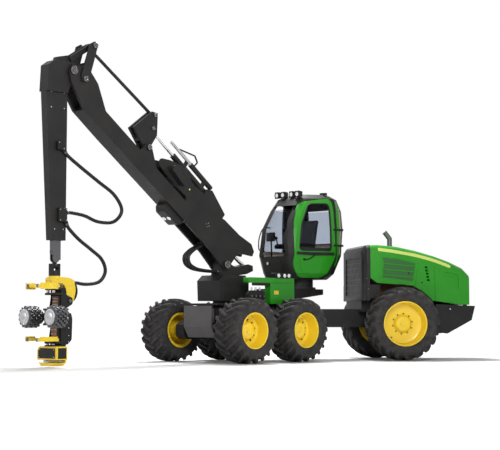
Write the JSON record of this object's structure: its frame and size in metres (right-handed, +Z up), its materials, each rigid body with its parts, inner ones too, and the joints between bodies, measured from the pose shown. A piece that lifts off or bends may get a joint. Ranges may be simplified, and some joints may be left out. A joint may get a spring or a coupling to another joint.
{
  "type": "forestry harvester",
  "caption": "Wheeled forestry harvester with a turning cab, hinged middle joint, folding crane and a felling and delimbing head.",
  "frame": {"origin": "middle of the whole machine's box, on the ground under the wheels", "axes": "+X forward along the front half and the crane, +Y left, +Z up"},
  "size_m": [10.8591, 4.3502, 6.26],
  "materials": {
    "black": "satin black paint",
    "brown": "dark",
    "charcoal": "satin charcoal paint",
    "chrome": "polished",
    "glass": "clear",
    "green": "gloss green paint",
    "grey": "satin grey paint",
    "seat": "woven",
    "steel": "bare steel",
    "tyre": "matte rubber",
    "yellow": "gloss yellow paint"
  },
  "bodies": {
    "front_half": {"front_frame": "charcoal", "front_guard": "grey", "bogie_left": "charcoal", "bogie_right": "charcoal", "tool_box": "green", "cab_turntable": "charcoal"},
    "rear_half": {"rear_frame": "charcoal", "engine_block": "brown"},
    "hood": {"hood": "green", "exhaust_pipe": "steel"},
    "cab": {"cab_shell": "black", "cab_glass": "glass", "seat": "seat"},
    "cab_door": {"cab_door": "green", "door_glass": "glass"},
    "head": {"head_frame": "charcoal", "saw_box": "yellow"},
    "wheel_front_left": {"tyre_front_left": "tyre", "rim_front_left": "yellow"},
    "wheel_front_right": {"tyre_front_right": "tyre", "rim_front_right": "yellow"},
    "wheel_middle_left": {"tyre_middle_left": "tyre", "rim_middle_left": "yellow"},
    "wheel_middle_right": {"tyre_middle_right": "tyre", "rim_middle_right": "yellow"},
    "wheel_rear_left": {"tyre_rear_left": "tyre", "rim_rear_left": "yellow"},
    "wheel_rear_right": {"tyre_rear_right": "tyre", "rim_rear_right": "yellow"},
    "crane_column": {"crane_column": "charcoal"},
    "boom": {"boom": "charcoal"},
    "lift_barrel": {"lift_barrel": "charcoal"},
    "lift_rod": {"lift_rod": "chrome"},
    "mid_rocker": {"mid_rocker": "charcoal"},
    "long_rod": {"long_rod": "charcoal"},
    "jib_barrel": {"jib_barrel": "charcoal"},
    "jib_rod": {"jib_rod": "chrome"},
    "knee_lever": {"knee_lever": "charcoal"},
    "knee_link": {"knee_link": "charcoal"},
    "stick": {"stick": "charcoal"},
    "extension": {"extension": "charcoal"},
    "tip_link": {"tip_link": "black"},
    "rotator": {"rotator": "black"},
    "head_yoke": {"head_yoke": "yellow"},
    "upper_knife_left": {"upper_knife_left": "yellow"},
    "upper_knife_right": {"upper_knife_right": "yellow"},
    "lower_knife_left": {"lower_knife_left": "yellow"},
    "lower_knife_right": {"lower_knife_right": "yellow"},
    "roller_arm_left": {"roller_arm_left": "charcoal"},
    "roller_arm_right": {"roller_arm_right": "charcoal"},
    "feed_roller_left": {"feed_roller_left": "steel"},
    "feed_roller_right": {"feed_roller_right": "steel"},
    "saw_bar": {"saw_bar": "steel"}
  },
  "joints": [
    {"name": "frame_joint", "type": "hinge", "parent": "front_half", "child": "rear_half", "pos_m": [-1.7665, -0.7251, 0], "axis": [0, 0, 1], "range_deg": [-9.5, 78.5]},
    {"name": "wheel_front_left", "type": "hinge", "parent": "front_half", "child": "wheel_front_left", "pos_m": [0.9495, 0.3949, 0.67], "axis": [0, 1, 0], "continuous": true},
    {"name": "wheel_front_right", "type": "hinge", "parent": "front_half", "child": "wheel_front_right", "pos_m": [0.9495, -1.8451, 0.67], "axis": [0, 1, 0], "continuous": true},
    {"name": "wheel_middle_left", "type": "hinge", "parent": "front_half", "child": "wheel_middle_left", "pos_m": [-0.5705, 0.3949, 0.67], "axis": [0, 1, 0], "continuous": true},
    {"name": "wheel_middle_right", "type": "hinge", "parent": "front_half", "child": "wheel_middle_right", "pos_m": [-0.5705, -1.8451, 0.67], "axis": [0, 1, 0], "continuous": true},
    {"name": "wheel_rear_left", "type": "hinge", "parent": "rear_half", "child": "wheel_rear_left", "pos_m": [-2.90821, 1.33365, 0.8], "axis": [0.5664, 0.8241, 0], "continuous": true},
    {"name": "wheel_rear_right", "type": "hinge", "parent": "rear_half", "child": "wheel_rear_right", "pos_m": [-4.09766, -0.39702, 0.8], "axis": [0.5664, 0.8241, 0], "continuous": true},
    {"name": "hood_hinge", "type": "hinge", "parent": "rear_half", "child": "hood", "pos_m": [-4.83225, 1.38193, 1.26], "axis": [-0.5664, -0.8241, 0], "range_deg": [0, 55]},
    {"name": "cab_slew", "type": "hinge", "parent": "front_half", "child": "cab", "pos_m": [-1.7605, -0.7251, 1.76], "axis": [0, 0, -1], "range_deg": [-80, 80]},
    {"name": "cab_door_hinge", "type": "hinge", "parent": "cab", "child": "cab_door", "pos_m": [-2.3805, 0.0849, 2.8], "axis": [0, 0, 1], "range_deg": [0, 82]},
    {"name": "crane_slew", "type": "hinge", "parent": "front_half", "child": "crane_column", "pos_m": [0.4695, -0.7251, 1.18], "axis": [0, 0, -1], "range_deg": [-110, 110]},
    {"name": "boom_lift", "type": "hinge", "parent": "crane_column", "child": "boom", "pos_m": [0.6095, -0.7251, 2.04], "axis": [0, -1, 0], "range_deg": [-20, 28]},
    {"name": "lift_barrel_pin", "type": "hinge", "parent": "boom", "child": "lift_barrel", "pos_m": [1.1395, -0.7251, 2.85], "axis": [0, -1, 0], "range_deg": [-15, 15]},
    {"name": "lift_rod_slide", "type": "slide", "parent": "lift_barrel", "child": "lift_rod", "axis": [-0.833, 0, -0.5532], "range_m": [-0.25, 0.25]},
    {"name": "stick_pin", "type": "hinge", "parent": "boom", "child": "stick", "pos_m": [4.6395, -0.7251, 5.64], "axis": [0, 1, 0], "range_deg": [-60, 20]},
    {"name": "rocker_pin", "type": "hinge", "parent": "boom", "child": "mid_rocker", "pos_m": [2.7395, -0.7251, 4.33], "axis": [0, 1, 0], "range_deg": [-20, 10]},
    {"name": "long_rod_pin", "type": "hinge", "parent": "mid_rocker", "child": "long_rod", "pos_m": [2.5095, -0.7251, 5.01], "axis": [0, 1, 0], "range_deg": [-10, 20]},
    {"name": "knee_pin", "type": "hinge", "parent": "boom", "child": "knee_lever", "pos_m": [4.3895, -0.7251, 5.5], "axis": [0, 1, 0], "range_deg": [-20, 10]},
    {"name": "knee_link_pin", "type": "hinge", "parent": "knee_lever", "child": "knee_link", "pos_m": [4.1595, -0.7251, 6.18], "axis": [0, 1, 0], "range_deg": [-10, 25]},
    {"name": "jib_barrel_pin", "type": "hinge", "parent": "boom", "child": "jib_barrel", "pos_m": [1.0195, -0.7251, 3.5], "axis": [0, 1, 0], "range_deg": [-5, 5]},
    {"name": "jib_rod_slide", "type": "slide", "parent": "jib_barrel", "child": "jib_rod", "axis": [0.7809, 0, 0.6247], "range_m": [-0.15, 0.06]},
    {"name": "stick_slide", "type": "slide", "parent": "stick", "child": "extension", "axis": [-0.0196, 0, -0.9998], "range_m": [0, 1.5]},
    {"name": "tip_swing", "type": "hinge", "parent": "extension", "child": "tip_link", "pos_m": [4.9095, -0.7251, 2.06], "axis": [0, -1, 0], "range_deg": [-45, 45]},
    {"name": "cross_swing", "type": "hinge", "parent": "tip_link", "child": "rotator", "pos_m": [4.9095, -0.7251, 1.9], "axis": [1, 0, 0], "range_deg": [-30, 30]},
    {"name": "rotator_spin", "type": "hinge", "parent": "rotator", "child": "head_yoke", "pos_m": [4.9095, -0.7251, 1.7], "axis": [0, 0, 1], "continuous": true},
    {"name": "head_tilt", "type": "hinge", "parent": "head_yoke", "child": "head", "pos_m": [4.6595, -0.7251, 1.25], "axis": [0, 1, 0], "range_deg": [0, 90]},
    {"name": "upper_knife_left_hinge", "type": "hinge", "parent": "head", "child": "upper_knife_left", "pos_m": [4.9895, -0.6351, 1.52515], "axis": [0, 0, 1], "range_deg": [0, 45]},
    {"name": "upper_knife_right_hinge", "type": "hinge", "parent": "head", "child": "upper_knife_right", "pos_m": [4.9895, -0.8151, 1.52515], "axis": [0, 0, -1], "range_deg": [0, 45]},
    {"name": "lower_knife_left_hinge", "type": "hinge", "parent": "head", "child": "lower_knife_left", "pos_m": [4.9895, -0.6351, 0.52365], "axis": [0, 0, 1], "range_deg": [0, 45]},
    {"name": "lower_knife_right_hinge", "type": "hinge", "parent": "head", "child": "lower_knife_right", "pos_m": [4.9895, -0.8151, 0.52365], "axis": [0, 0, -1], "range_deg": [0, 45]},
    {"name": "roller_arm_left_hinge", "type": "hinge", "parent": "head", "child": "roller_arm_left", "pos_m": [4.8795, -0.4651, 0.95], "axis": [0, 0, 1], "range_deg": [0, 35]},
    {"name": "roller_arm_right_hinge", "type": "hinge", "parent": "head", "child": "roller_arm_right", "pos_m": [4.8795, -0.9851, 0.95], "axis": [0, 0, -1], "range_deg": [0, 35]},
    {"name": "roller_left_spin", "type": "hinge", "parent": "roller_arm_left", "child": "feed_roller_left", "pos_m": [5.0895, -0.3251, 0.95], "axis": [1, 0, 0], "continuous": true},
    {"name": "roller_right_spin", "type": "hinge", "parent": "roller_arm_right", "child": "feed_roller_right", "pos_m": [5.0895, -1.1251, 0.95], "axis": [1, 0, 0], "continuous": true},
    {"name": "saw_swing", "type": "hinge", "parent": "head", "child": "saw_bar", "pos_m": [4.8895, -1.0051, 0.12], "axis": [0, 0, -1], "range_deg": [0, 90]}
  ],
  "couplings": [
    {"joint": "lift_barrel_pin", "follows": "boom_lift", "ratio": -0.42977},
    {"joint": "lift_rod_slide", "follows": "boom_lift", "m_per_rad": -0.41768},
    {"joint": "rocker_pin", "follows": "stick_pin", "ratio": 0.291},
    {"joint": "long_rod_pin", "follows": "stick_pin", "ratio": -0.291},
    {"joint": "knee_pin", "follows": "stick_pin", "ratio": 0.291},
    {"joint": "knee_link_pin", "follows": "stick_pin", "ratio": -0.362},
    {"joint": "jib_barrel_pin", "follows": "stick_pin", "ratio": 0.01164},
    {"joint": "jib_rod_slide", "follows": "stick_pin", "m_per_rad": 0.12677},
    {"joint": "upper_knife_right_hinge", "follows": "upper_knife_left_hinge", "ratio": 1},
    {"joint": "lower_knife_right_hinge", "follows": "lower_knife_left_hinge", "ratio": 1},
    {"joint": "roller_arm_right_hinge", "follows": "roller_arm_left_hinge", "ratio": 1}
  ]
}
